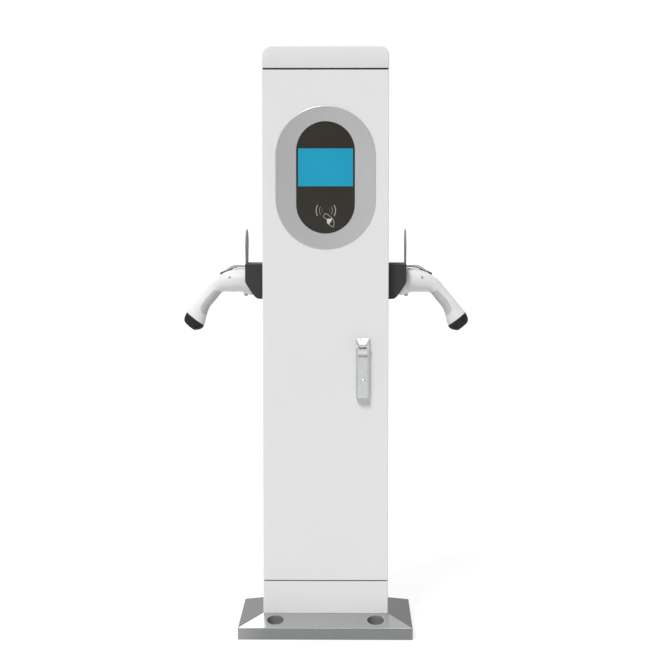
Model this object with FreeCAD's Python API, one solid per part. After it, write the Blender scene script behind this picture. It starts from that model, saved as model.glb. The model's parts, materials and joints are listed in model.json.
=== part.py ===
import FreeCAD, Part
import math
import os
from FreeCAD import Vector

# EV charging post, in millimetres. The origin is on the ground under the middle of the base,
# +X is to the right seen from the door side, the door faces -Y, and +Z is up.

# ---- Driving dimensions -------------------------------------------------------------------
HEIGHT = 1500.0
POST_W = 320.0
POST_D = 180.0
SHEET = 2.0
DOOR_SHEET = 1.5
FOLD_R = 2.5
DOOR_GAP = 1.5

BASE_W = 444.0
BASE_D = 320.0
RIM_H = 30.0
SLOPE_RISE = 22.0
COVER_SHEET = 3.0
PLATE_T = 10.0
PLATE_INSET = 8.0
BOLT_X = 128.0
BOLT_Y = 122.0
ANCHOR_HOLE_R = 9.0
ACCESS_HOLE_R = 21.3
SLEEVE_WALL = 2.0
CABLE_HOLE_R = 30.0

CAP_H = 56.5
CAP_CORNER_R = 25.0
CAP_WALL = 3.0
GASKET_T = 3.0

SKIRT_TOP = 135.5
DOOR_BOTTOM = 138.5
DOOR_DEPTH = 16.0
WALL_FRONT = -72.0
LIP_Y = -69.0
OPENING_HALF_W = 134.0

HINGE_X = -151.7
HINGE_Y = -84.8
HINGE_HEIGHTS = (262.0, 790.0, 1316.0)
KNUCKLE_R = 3.4
HINGE_PIN_R = 2.0
HINGE_HALF_H = 25.0
DOOR_KNUCKLE_HALF_H = 9.0
LEAF_T = 1.8
RUNNING_GAP = 0.05
FIT_GAP = 0.3

RING_HALF_W = 126.4
RING_BOTTOM = 989.3
RING_TOP = 1348.9
GLASS_HALF_W = 74.2
GLASS_BOTTOM = 1027.7
GLASS_TOP = 1310.4
SCREEN_HALF_W = 69.5
SCREEN_BOTTOM = 1146.7
SCREEN_TOP = 1242.3

HANDLE_X = 94.4
HANDLE_HALF_W = 17.7
HANDLE_BOTTOM = 608.6
HANDLE_TOP = 763.3
HANDLE_AXIS_Z = 752.0
LEVER_PIN_Y = -104.0
LEVER_PIN_Z = 742.0
KEY_X = 95.5
KEY_Z = 654.3
KEY_R = 5.0

GEAR_MODULE = 2.0
GEAR_TEETH = 12
ROD_TRAVEL = math.pi / 2 * GEAR_MODULE * GEAR_TEETH / 2

GUN_Z = 902.5
NOSE_R = 22.0
GUN_WALL = 2.6
SEAM = 0.3
LATCH_X = 247.5
LATCH_Z = 913.4
LATCH_PIN_R = 3.0
LATCH_HALF_W = 7.5
TRIGGER_X = 207.0
HOLDER_REACH = 46.2
HOLDER_HALF_D = 55.0
HOLDER_TOP = 949.5
HOLDER_BOTTOM = 859.7
HOLDER_SCREW_Y = 46.0
HOLDER_SCREW_HEIGHTS = (870.0, 935.0)
SLEEVE_R = 28.0
FIN_TOP = 1037.0
FIN_T = 3.5

# ---- Worked-out places --------------------------------------------------------------------
HALF_W = POST_W / 2
HALF_D = POST_D / 2
CAP_BOTTOM = HEIGHT - CAP_H
COLUMN_TOP = CAP_BOTTOM - GASKET_T
WALL_IN = HALF_W - SHEET
DOOR_TOP = COLUMN_TOP - DOOR_GAP
SKIN_IN = -HALF_D + DOOR_SHEET
OPENING_BOTTOM = 161.0
OPENING_TOP = 1414.5
MOUNT_PLATE_Y = 58.0
BREAKER_RAIL_Z = 1180.0
CONTACTOR_RAIL_Z = 560.0

X_AXIS = Vector(1, 0, 0)
Y_AXIS = Vector(0, 1, 0)
Z_AXIS = Vector(0, 0, 1)
TOUCH = 0.01


# ---- Small geometry helpers ---------------------------------------------------------------
def box(x0, x1, y0, y1, z0, z1):
    return Part.makeBox(x1 - x0, y1 - y0, z1 - z0, Vector(x0, y0, z0))


def rod(radius, start, axis, length):
    return Part.makeCylinder(radius, length, Vector(*start), axis)


def join(shapes):
    shapes = list(shapes)
    if len(shapes) == 1:
        return shapes[0]
    return shapes[0].multiFuse(shapes[1:]).removeSplitter()


def group(shapes):
    return Part.makeCompound(list(shapes))


def cut(shape, tools):
    return shape.cut(list(tools)).removeSplitter()


def prism(points, extrusion):
    wire = Part.makePolygon([Vector(*p) for p in points] + [Vector(*points[0])])
    return Part.Face(wire).extrude(extrusion)


def prism_xz(points, y0, y1):
    return prism([(x, y0, z) for x, z in points], Vector(0, y1 - y0, 0))


def prism_yz(points, x0, x1):
    return prism([(x0, y, z) for y, z in points], Vector(x1 - x0, 0, 0))


def stadium(half_w, z0, z1, y0, y1):
    """An upright pill-shaped plate with half-round ends, lying in the XZ plane."""
    low = z0 + half_w
    high = z1 - half_w
    corners = [Vector(-half_w, y0, low), Vector(half_w, y0, low)]
    corners += [Vector(half_w, y0, high), Vector(-half_w, y0, high)]
    edges = [
        Part.Arc(corners[0], Vector(0, y0, z0), corners[1]).toShape(),
        Part.makeLine(corners[1], corners[2]),
        Part.Arc(corners[2], Vector(0, y0, z1), corners[3]).toShape(),
        Part.makeLine(corners[3], corners[0]),
    ]
    return Part.Face(Part.Wire(edges)).extrude(Vector(0, y1 - y0, 0))


def rectangle(half_x, half_y, z):
    points = [Vector(sx * half_x, sy * half_y, z) for sx, sy in ((-1, -1), (1, -1), (1, 1), (-1, 1))]
    return Part.makePolygon(points + [points[0]])


def edges_where(shape, test):
    """Edges whose end points all satisfy the test."""
    return [e for e in shape.Edges if len(e.Vertexes) > 1 and all(test(v.Point) for v in e.Vertexes)]


def edges_along(edges, axis):
    return [e for e in edges if abs(e.tangentAt(0).dot(axis)) > 0.9]


def turned(shape):
    """The same piece on the other side of the post, half a turn about the vertical axis."""
    copy = shape.copy()
    copy.rotate(Vector(0, 0, 0), Z_AXIS, 180)
    return copy


def screw(point, axis, head_r, head_h, shank_r, shank_l):
    """A socket-head screw: point is under the head, axis points out of the head."""
    head = rod(head_r, point, axis, head_h)
    shank = rod(shank_r, point, -axis, shank_l)
    socket_start = Vector(*point) + axis * (head_h * 0.4)
    socket = rod(head_r * 0.5, socket_start, axis, head_h)
    return join([head, shank]).cut(socket)


# ---- Base ---------------------------------------------------------------------------------
def bolt_places():
    return [(sx * BOLT_X, sy * BOLT_Y) for sx in (-1, 1) for sy in (-1, 1)]


def make_anchor_plate():
    half_x = BASE_W / 2 - PLATE_INSET
    half_y = BASE_D / 2 - PLATE_INSET
    plate = box(-half_x, half_x, -half_y, half_y, 0, PLATE_T)
    holes = [rod(ANCHOR_HOLE_R, (x, y, -1), Z_AXIS, PLATE_T + 2) for x, y in bolt_places()]
    holes.append(rod(CABLE_HOLE_R, (0, 0, -1), Z_AXIS, PLATE_T + 2))
    return cut(plate, holes)


def make_base_cover():
    """Folded sheet with four sloping sides, and a sleeve in each access hole to keep water out."""
    top_x = HALF_W + FIT_GAP
    top_y = HALF_D + FIT_GAP
    top_z = RIM_H + SLOPE_RISE

    def bell(inset, drop):
        rim_x = BASE_W / 2 - inset
        rim_y = BASE_D / 2 - inset
        shoulder = RIM_H - drop
        rim = box(-rim_x, rim_x, -rim_y, rim_y, 0, shoulder)
        outlines = [rectangle(rim_x, rim_y, shoulder), rectangle(top_x, top_y, top_z - drop)]
        return join([rim, Part.makeLoft(outlines, True, True)])

    outside = bell(0, 0)
    height = top_z + 2
    sleeves = []
    holes = []
    for x, y in bolt_places():
        sleeves.append(rod(ACCESS_HOLE_R + SLEEVE_WALL, (x, y, PLATE_T), Z_AXIS, height).common(outside))
        holes.append(rod(ACCESS_HOLE_R, (x, y, -1), Z_AXIS, height))
    cover = join([outside.cut(bell(COVER_SHEET, COVER_SHEET))] + sleeves)
    cover = cut(cover, [box(-top_x, top_x, -top_y, top_y, -1, top_z + 1)] + holes)

    def at_rim_corner(p):
        return abs(abs(p.x) - BASE_W / 2) < TOUCH and abs(abs(p.y) - BASE_D / 2) < TOUCH

    return cover.makeFillet(2.0, edges_where(cover, at_rim_corner))


# ---- Column -------------------------------------------------------------------------------
def holder_screw_places():
    return [(sy * HOLDER_SCREW_Y, z) for sy in (-1, 1) for z in HOLDER_SCREW_HEIGHTS]


def make_column_shell():
    outer = box(-HALF_W, HALF_W, -HALF_D, HALF_D, PLATE_T, COLUMN_TOP)
    back_edges = edges_where(outer, lambda p: p.y > 0)
    outer = outer.makeFillet(4.0, [e for e in back_edges if e.Length > 1000])
    room = box(-WALL_IN, WALL_IN, -HALF_D - 1, HALF_D - SHEET, PLATE_T - 1, COLUMN_TOP - SHEET)
    front = box(-HALF_W - 1, HALF_W + 1, -HALF_D - 1, WALL_FRONT, PLATE_T - 1, COLUMN_TOP + 1)
    doorway = box(-WALL_IN, WALL_IN, -HALF_D - 1, LIP_Y, PLATE_T - 1, COLUMN_TOP + 1)
    tools = [room, front, doorway]
    tools.append(rod(SLEEVE_R + FIT_GAP, (-HALF_W - 5, 0, GUN_Z), X_AXIS, POST_W + 10))
    for y, z in holder_screw_places():
        tools.append(rod(2.6, (-HALF_W - 5, y, z), X_AXIS, POST_W + 10))
    return cut(outer, tools)


def folded_tray(back, bottom, top):
    """A front panel as wide as the post, with its four edges folded back."""
    outer = box(-HALF_W, HALF_W, -HALF_D, back, bottom, top)
    uprights = edges_along(edges_where(outer, lambda p: p.y < back - 1), Z_AXIS)
    outer = outer.makeFillet(FOLD_R, uprights)
    inner_x = HALF_W - DOOR_SHEET
    inner = box(-inner_x, inner_x, SKIN_IN, back + 1, bottom + DOOR_SHEET, top - DOOR_SHEET)
    uprights = edges_along(edges_where(inner, lambda p: p.y < back), Z_AXIS)
    return outer.cut(inner.makeFillet(FOLD_R - DOOR_SHEET, uprights))


def make_skirt_panel():
    return folded_tray(WALL_FRONT, RIM_H + SLOPE_RISE + FIT_GAP, SKIRT_TOP)


def make_cap_gasket():
    def slab(inset, bottom, top):
        return box(-HALF_W + inset, HALF_W - inset, -HALF_D + inset, HALF_D - inset, bottom, top)

    return slab(1.5, COLUMN_TOP, CAP_BOTTOM).cut(slab(14, COLUMN_TOP - 1, CAP_BOTTOM + 1))


def make_top_cap():
    def block(inset, bottom):
        x = HALF_W - inset
        y = HALF_D - inset
        top = HEIGHT - inset
        body = box(-x, x, -y, y, bottom, top)
        shoulders = edges_along(edges_where(body, lambda p: p.z > top - 1), Y_AXIS)
        return body.makeFillet(CAP_CORNER_R - inset, shoulders)

    outer = block(0, CAP_BOTTOM)
    face_edges = edges_where(outer, lambda p: abs(abs(p.y) - HALF_D) < TOUCH)
    face_edges = [e for e in face_edges if abs(e.CenterOfMass.y) > HALF_D - 1]
    rims = [e for e in face_edges if e.CenterOfMass.z > CAP_BOTTOM + 1]
    outer = outer.makeFillet(4.0, rims)
    return cut(outer, [block(CAP_WALL, CAP_BOTTOM - 1)])


# ---- Door frame, hinges and keepers -------------------------------------------------------
def make_door_frame():
    lip_back = LIP_Y + SHEET
    low = RIM_H + SLOPE_RISE + 4
    high = COLUMN_TOP - SHEET
    lip = box(-WALL_IN, WALL_IN, LIP_Y, lip_back, low, high)
    legs = [box(x, x + SHEET, LIP_Y, -50, low, high) for x in (-WALL_IN, WALL_IN - SHEET)]
    edge = OPENING_HALF_W + SHEET
    upstand = box(-edge, edge, -82, lip_back, OPENING_BOTTOM - SHEET, OPENING_TOP + SHEET)
    opening = box(-OPENING_HALF_W, OPENING_HALF_W, -83, lip_back + 1, OPENING_BOTTOM, OPENING_TOP)
    return cut(join([lip, upstand] + legs), [opening])


def make_hinge_frame_leaves():
    """Arms that reach from the frame's upstand, behind the seal, to the pin inside the door's fold."""
    upstand_x = -OPENING_HALF_W - SHEET
    arm_front = HINGE_Y + 2.8
    arm_back = arm_front + LEAF_T
    leaves = []
    for z in HINGE_HEIGHTS:
        low = z - HINGE_HALF_H
        high = z + HINGE_HALF_H
        tube = rod(KNUCKLE_R, (HINGE_X, HINGE_Y, low), Z_AXIS, 2 * HINGE_HALF_H)
        web = box(HINGE_X - 1.5, HINGE_X + KNUCKLE_R, HINGE_Y, arm_back, low, high)
        arm = box(HINGE_X, upstand_x, arm_front, arm_back, low, high)
        leaf = box(upstand_x - LEAF_T, upstand_x, arm_front, LIP_Y, low, high)
        bore = rod(HINGE_PIN_R, (HINGE_X, HINGE_Y, low - 1), Z_AXIS, 2 * HINGE_HALF_H + 2)
        half_gap = DOOR_KNUCKLE_HALF_H + 0.2
        gap = rod(KNUCKLE_R + 2.2, (HINGE_X, HINGE_Y, z - half_gap), Z_AXIS, 2 * half_gap)
        leaves.append(cut(join([tube, web, arm, leaf]), [bore, gap]))
    return group(leaves)


def make_hinge_door_leaves():
    back = SKIN_IN + LEAF_T
    leaves = []
    for z in HINGE_HEIGHTS:
        low = z - DOOR_KNUCKLE_HALF_H
        high = z + DOOR_KNUCKLE_HALF_H
        arm = box(HINGE_X, HINGE_X + 6, SKIN_IN, back, low, high)
        leaf = box(HINGE_X + 4.8, HINGE_X + 9.6, SKIN_IN, back, z - HINGE_HALF_H, z + HINGE_HALF_H)
        tube = rod(KNUCKLE_R, (HINGE_X, HINGE_Y, low), Z_AXIS, high - low)
        bore = rod(HINGE_PIN_R + RUNNING_GAP, (HINGE_X, HINGE_Y, low - 1), Z_AXIS, high - low + 2)
        leaves.append(cut(join([arm, leaf, tube]), [bore]))
    return group(leaves)


def make_hinge_pins():
    places = [(HINGE_X, HINGE_Y, z - HINGE_HALF_H) for z in HINGE_HEIGHTS]
    return group(rod(HINGE_PIN_R, place, Z_AXIS, 2 * HINGE_HALF_H) for place in places)


# The lock rods run just behind the door's skin, one each side of the pinion.
ROD_FRONT = -79.0
ROD_BACK = -75.0
RACK_X = GEAR_MODULE * GEAR_TEETH / 2
ROD_IN = RACK_X + 2.8
ROD_OUT = ROD_IN + 8.0
ROD_TOP_Z = 1404.0
ROD_BOTTOM_Z = 172.0


def make_rod_keepers():
    keepers = []
    for side, end, edge in ((1, 1, OPENING_TOP), (-1, -1, OPENING_BOTTOM)):
        x0 = HANDLE_X + min(side * ROD_IN, side * ROD_OUT)
        x1 = HANDLE_X + max(side * ROD_IN, side * ROD_OUT)
        inner = edge - end * 22
        low = min(inner, edge + end * 14)
        high = max(inner, edge + end * 14)
        back = box(x0 - 4, x1 + 4, LIP_Y + SHEET, LIP_Y + SHEET + 2.5, low, high)
        low = min(inner, edge - end * 2)
        high = max(inner, edge - end * 2)
        fork = box(x0 - 4, x1 + 4, ROD_FRONT, LIP_Y + SHEET, low, high)
        slot = box(x0 - 1, x1 + 1, ROD_FRONT - 1, LIP_Y - 3, low - 1, high + 1)
        keepers.append(cut(join([back, fork]), [slot]))
    return group(keepers)


# ---- Electrical gear on the mounting plate ------------------------------------------------
def make_mounting_plate():
    """A flat plate with standoffs welded on, which keep it clear of the column's back wall."""
    back = MOUNT_PLATE_Y + 2.5
    plate = box(-138, 138, MOUNT_PLATE_Y, back, 200, 1395)
    places = [(sx * 120, z) for sx in (-1, 1) for z in (230, 798, 1365)]
    return join([plate] + [rod(9, (x, back, z), Y_AXIS, HALF_D - SHEET - back) for x, z in places])


def din_rail(z):
    y = MOUNT_PLATE_Y
    web = box(-125, 125, y - 1, y, z - 12.5, z + 12.5)
    sides = [box(-125, 125, y - 7.5, y, z + s * 13 - 0.5, z + s * 13 + 0.5) for s in (-1, 1)]
    flanges = [box(-125, 125, y - 7.5, y - 6.5, z + s * 15 - 2.5, z + s * 15 + 2.5) for s in (-1, 1)]
    return join([web] + sides + flanges)


def make_din_rails():
    return group([din_rail(BREAKER_RAIL_Z), din_rail(CONTACTOR_RAIL_Z)])


RAIL_FACE = MOUNT_PLATE_Y - 7.5


def rail_device(x0, x1, z, body_h, body_d, nose_h, nose_d):
    """A rail-mounted device: a body, a raised nose, and a row of terminal wells top and bottom."""
    y = RAIL_FACE
    body = box(x0, x1, y - body_d, y, z - body_h / 2, z + body_h / 2)
    nose = box(x0, x1, y - body_d - nose_d, y - body_d + 1, z - nose_h / 2, z + nose_h / 2)
    wells = []
    count = max(2, int((x1 - x0) // 16))
    pitch = (x1 - x0) / count
    for i in range(count):
        x = x0 + pitch * (i + 0.5)
        for s in (-1, 1):
            wells.append(rod(3.2, (x, y - body_d - 1, z + s * (body_h / 2 - 9)), Y_AXIS, 9))
            end = z + s * body_h / 2
            wells.append(box(x - 4, x + 4, y - body_d * 0.6, y - body_d * 0.35, end - 6, end + 6))
    return cut(join([body, nose]), wells)


BREAKER_X0 = -118.0
BREAKER_X1 = -46.0
TOGGLE_Y = RAIL_FACE - 52.0
TOGGLE_R = 8.0
TOGGLE_HALF_W = 25.5
BREAKER_MIDDLE = (BREAKER_X0 + BREAKER_X1) / 2


def make_main_breaker():
    body = rail_device(BREAKER_X0, BREAKER_X1, BREAKER_RAIL_Z, 86, 46, 44, 14)
    x0 = BREAKER_MIDDLE - TOGGLE_HALF_W - 0.5
    x1 = BREAKER_MIDDLE + TOGGLE_HALF_W + 0.5
    slot = rod(TOGGLE_R + RUNNING_GAP, (x0, TOGGLE_Y, BREAKER_RAIL_Z), X_AXIS, x1 - x0)
    mouth = box(x0, x1, TOGGLE_Y - 12, TOGGLE_Y, BREAKER_RAIL_Z - 7.2, BREAKER_RAIL_Z + 7.2)
    return cut(body, [slot, mouth])


def make_breaker_toggle():
    x0 = BREAKER_MIDDLE - TOGGLE_HALF_W
    x1 = BREAKER_MIDDLE + TOGGLE_HALF_W
    drum = rod(TOGGLE_R, (x0, TOGGLE_Y, BREAKER_RAIL_Z), X_AXIS, x1 - x0)
    arm = box(x0, x1, TOGGLE_Y - 19, TOGGLE_Y, BREAKER_RAIL_Z - 2.5, BREAKER_RAIL_Z + 2.5)
    arm = arm.makeFillet(1.2, edges_where(arm, lambda p: p.y < TOGGLE_Y - 18))
    toggle = join([drum, arm])
    toggle.rotate(Vector(BREAKER_MIDDLE, TOGGLE_Y, BREAKER_RAIL_Z), X_AXIS, -18)
    return toggle


def make_energy_meters():
    return group(rail_device(x, x + 54, BREAKER_RAIL_Z, 86, 46, 44, 14) for x in (-36.0, 26.0))


def make_contactors():
    return group(rail_device(x, x + 45, CONTACTOR_RAIL_Z, 84, 60, 50, 16) for x in (-118.0, -66.0))


def make_terminal_block():
    return group(rail_device(x, x + 11.5, CONTACTOR_RAIL_Z, 60, 34, 26, 6) for x in range(0, 120, 12))


def make_control_board():
    y = MOUNT_PLATE_Y - 16
    board = box(-105, 105, y - 1.6, y, 700, 860)
    posts = [rod(4, (sx * 98, y, z), Y_AXIS, 16) for sx in (-1, 1) for z in (707, 853)]
    parts = [box(-95 + 26 * i, -75 + 26 * i, y - 16, y - 1.6, 838, 856) for i in range(4)]
    parts += [box(20 + 30 * i, 42 + 30 * i, y - 20, y - 1.6, 708, 738) for i in range(3)]
    parts += [rod(9, (-84 + 24 * i, y - 1.6, 722), -Y_AXIS, 26) for i in range(3)]
    parts.append(box(-40, -4, y - 5, y - 1.6, 766, 802))
    parts.append(box(30, 90, y - 12, y - 1.6, 770, 812))
    return join([board] + posts + parts)


# ---- Door ---------------------------------------------------------------------------------
def make_door_skin():
    tray = folded_tray(-HALF_D + DOOR_DEPTH, DOOR_BOTTOM, DOOR_TOP)
    window = box(-71, 71, -HALF_D - 1, SKIN_IN + 1, SCREEN_BOTTOM - 2, SCREEN_TOP + 2)
    reader = box(-34, 34, -HALF_D - 1, SKIN_IN + 1, 1042, 1104)
    spindle = rod(6.0, (HANDLE_X, -HALF_D - 1, HANDLE_AXIS_Z), Y_AXIS, 4)
    return cut(tray, [window, reader, spindle])


def make_door_seal():
    half = OPENING_HALF_W + SHEET / 2
    outer = box(-half - 5, half + 5, SKIN_IN, -82.3, OPENING_BOTTOM - 6, OPENING_TOP + 6)
    inner = box(-half + 5, half - 5, SKIN_IN - 1, -82, OPENING_BOTTOM + 4, OPENING_TOP - 4)
    return outer.cut(inner)


def make_lock_case():
    x0 = HANDLE_X - ROD_OUT - 2
    x1 = HANDLE_X + ROD_OUT + 2
    z0 = HANDLE_AXIS_Z - 32
    z1 = HANDLE_AXIS_Z + 32
    outer = box(x0, x1, SKIN_IN, -72, z0, z1)
    inner = box(x0 + 1.7, x1 - 1.7, SKIN_IN + 2, -74.7, z0 - 1, z1 + 1)
    spindle = rod(4 + RUNNING_GAP, (HANDLE_X, SKIN_IN - 1, HANDLE_AXIS_Z), Y_AXIS, 30)
    return cut(outer, [inner, spindle])


def make_escutcheon():
    left = HANDLE_X - HANDLE_HALF_W
    right = HANDLE_X + HANDLE_HALF_W
    plate = box(left, right, -HALF_D - 4, -HALF_D, HANDLE_BOTTOM, HANDLE_TOP)
    plate = plate.makeFillet(3.0, edges_along(plate.Edges, Y_AXIS))
    return plate.cut(rod(4 + RUNNING_GAP, (HANDLE_X, -HALF_D - 5, HANDLE_AXIS_Z), Y_AXIS, 6))


def make_bezel_ring():
    front = -HALF_D - 2.5
    outer = stadium(RING_HALF_W, RING_BOTTOM, RING_TOP, front, -HALF_D)
    outer = outer.makeFillet(1.0, edges_where(outer, lambda p: p.y < front + TOUCH))
    return outer.cut(stadium(GLASS_HALF_W, GLASS_BOTTOM, GLASS_TOP, front - 1, -HALF_D + 1))


def make_panel_glass():
    pill = stadium(GLASS_HALF_W - 0.2, GLASS_BOTTOM + 0.2, GLASS_TOP - 0.2, -HALF_D - 2.2, -HALF_D)
    return pill.cut(box(-SCREEN_HALF_W, SCREEN_HALF_W, -100, -80, SCREEN_BOTTOM, SCREEN_TOP))


def make_lcd_module():
    gap = 0.2
    return box(
        -SCREEN_HALF_W + gap, SCREEN_HALF_W - gap, -HALF_D - 1.6, -HALF_D + 12,
        SCREEN_BOTTOM + gap, SCREEN_TOP - gap,
    )


def make_card_reader():
    board = box(-33, 33, -HALF_D, -HALF_D + 1.6, 1043, 1103)
    chips = [box(-20 + 22 * i, -8 + 22 * i, -HALF_D + 1.6, -HALF_D + 4.5, 1052, 1064) for i in range(2)]
    coil = box(-26, 26, -HALF_D + 1.6, -HALF_D + 2.4, 1070, 1098).cut(
        box(-22, 22, -HALF_D + 1, -HALF_D + 3, 1074, 1094)
    )
    return join([board, coil] + chips)


HOUSING_BACK = -58.0


def housing_screw_places():
    return [(sx * 90, z) for sx in (-1, 1) for z in (1030, 1308)]


def make_display_housing():
    outer = box(-84, 84, SKIN_IN, HOUSING_BACK, 1018, 1320)
    outer = outer.makeFillet(6.0, edges_along(outer.Edges, Y_AXIS))
    inner = box(-82, 82, SKIN_IN - 1, HOUSING_BACK - 2, 1020, 1318)
    inner = inner.makeFillet(4.0, edges_along(inner.Edges, Y_AXIS))
    ears = [box(x - 8, x + 8, SKIN_IN, SKIN_IN + 2.5, z - 9, z + 9) for x, z in housing_screw_places()]
    shell = join([outer] + ears).cut(inner)
    holes = [rod(2.1, (x, SKIN_IN - 1, z), Y_AXIS, 6) for x, z in housing_screw_places()]
    vents = [box(-50, 50, HOUSING_BACK - 3, HOUSING_BACK + 1, z, z + 4) for z in range(1270, 1310, 10)]
    return cut(shell, holes + vents)


def make_housing_screws():
    y = SKIN_IN + 2.5
    return group(screw((x, y, z), Y_AXIS, 3.6, 3.0, 2.0, 2.4) for x, z in housing_screw_places())


# ---- Handle, lock and rods ----------------------------------------------------------------
HUB_BACK = -HALF_D - 4.2
HUB_FRONT = -HALF_D - 24.0
HUB_BOTTOM = LEVER_PIN_Z + 3.2
TONGUE_HALF_W = 9.0
PIN_R = 1.6
LEVER_FRONT = -HALF_D - 21.0


def hipped_block(back, shoulder, front, back_rect, front_rect):
    """A bar along Z whose sides slope in from the shoulder to a smaller flat front."""
    half_b, low_b, high_b = back_rect
    half_f, low_f, high_f = front_rect
    base = box(HANDLE_X - half_b, HANDLE_X + half_b, shoulder, back, low_b, high_b)

    def frame_at(y, half, low, high):
        corners = [(-half, low), (half, low), (half, high), (-half, high)]
        points = [Vector(HANDLE_X + x, y, z) for x, z in corners]
        return Part.makePolygon(points + [points[0]])

    hip = Part.makeLoft(
        [frame_at(shoulder, half_b, low_b, high_b), frame_at(front, half_f, low_f, high_f)], True, True
    )
    return join([base, hip])


def make_handle_hub():
    """Top block, sloped like a hipped roof, and a tongue that carries the lever's pin."""
    foot = (HANDLE_HALF_W, HUB_BOTTOM, HANDLE_TOP)
    crown = (8.5, HUB_BOTTOM, HUB_BOTTOM + 2.5)
    block = hipped_block(HUB_BACK, HUB_BACK - 1.5, HUB_FRONT, foot, crown)
    barrel = rod(3.0, (HANDLE_X - TONGUE_HALF_W, LEVER_PIN_Y, LEVER_PIN_Z), X_AXIS, 2 * TONGUE_HALF_W)
    neck = box(
        HANDLE_X - TONGUE_HALF_W, HANDLE_X + TONGUE_HALF_W, LEVER_PIN_Y - 3, LEVER_PIN_Y + 3,
        LEVER_PIN_Z, HUB_BOTTOM + 1,
    )
    bore = rod(PIN_R, (HANDLE_X - 20, LEVER_PIN_Y, LEVER_PIN_Z), X_AXIS, 40)
    socket = rod(4.0, (HANDLE_X, HUB_BACK - 6, HANDLE_AXIS_Z), Y_AXIS, 8)
    return cut(join([block, barrel, neck]), [bore, socket])


def pinion_tooth(index):
    """One tooth, thinned a little so that it turns freely in the racks."""
    pitch_r = GEAR_MODULE * GEAR_TEETH / 2
    root_r = pitch_r - 1.2 * GEAR_MODULE
    tip_r = pitch_r + 0.9 * GEAR_MODULE
    half_pitch = math.pi / GEAR_TEETH / 2 * 0.86
    base = 2 * math.pi * (index + 0.5) / GEAR_TEETH
    points = [(root_r - 0.6, half_pitch * 1.5), (pitch_r, half_pitch), (tip_r, half_pitch * 0.42)]
    outline = [(r, base - h) for r, h in points] + [(r, base + h) for r, h in reversed(points)]
    corners = [(HANDLE_X + r * math.cos(a), HANDLE_AXIS_Z + r * math.sin(a)) for r, a in outline]
    return prism_xz(corners, ROD_FRONT + 0.3, ROD_BACK - 0.3)


def make_handle_spindle():
    shaft = rod(4.0, (HANDLE_X, HUB_BACK - 6, HANDLE_AXIS_Z), Y_AXIS, -70.5 - (HUB_BACK - 6))
    root_r = GEAR_MODULE * GEAR_TEETH / 2 - 1.2 * GEAR_MODULE
    disc = rod(root_r, (HANDLE_X, ROD_FRONT + 0.3, HANDLE_AXIS_Z), Y_AXIS, ROD_BACK - ROD_FRONT - 0.6)
    return join([shaft, disc] + [pinion_tooth(i) for i in range(GEAR_TEETH)])


def rack_tooth(side, z):
    """A rack tooth that points towards the pinion: side is +1 right of it and -1 left of it."""
    pitch = math.pi * GEAR_MODULE
    root = side * (ROD_IN + 0.1)
    tip = side * (RACK_X - 0.8 * GEAR_MODULE)
    wide = pitch * 0.34
    slim = pitch * 0.12
    corners = [(root, z - wide), (root, z + wide), (tip, z + slim), (tip, z - slim)]
    return prism_xz([(HANDLE_X + x, zz) for x, zz in corners], ROD_FRONT, ROD_BACK)


def make_rod(side):
    """Right of the pinion the rod runs up, left of it down. Each carries a rack beside the pinion."""
    pitch = math.pi * GEAR_MODULE
    x0 = HANDLE_X + min(side * ROD_IN, side * ROD_OUT)
    x1 = HANDLE_X + max(side * ROD_IN, side * ROD_OUT)
    far_end = ROD_TOP_Z if side > 0 else ROD_BOTTOM_Z
    near_end = HANDLE_AXIS_Z - side * 10
    bar = box(x0, x1, ROD_FRONT, ROD_BACK, min(near_end, far_end), max(near_end, far_end))
    teeth = [rack_tooth(side, HANDLE_AXIS_Z + side * pitch * (i - 1)) for i in range(6)]
    return join([bar] + teeth)


def make_rod_guides():
    """Door brackets that the rods slide through, with a little play all round."""
    guides = []
    for side, heights in ((1, (900.0, 1380.0)), (-1, (640.0, 420.0, 200.0))):
        x0 = HANDLE_X + min(side * ROD_IN, side * ROD_OUT)
        x1 = HANDLE_X + max(side * ROD_IN, side * ROD_OUT)
        for z in heights:
            block = box(x0 - 3, x1 + 3, SKIN_IN, ROD_BACK + 2, z - 6, z + 6)
            slot = box(x0 - 0.4, x1 + 0.4, ROD_FRONT - 0.4, ROD_BACK + 0.4, z - 7, z + 7)
            guides.append(block.cut(slot))
    return group(guides)


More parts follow.
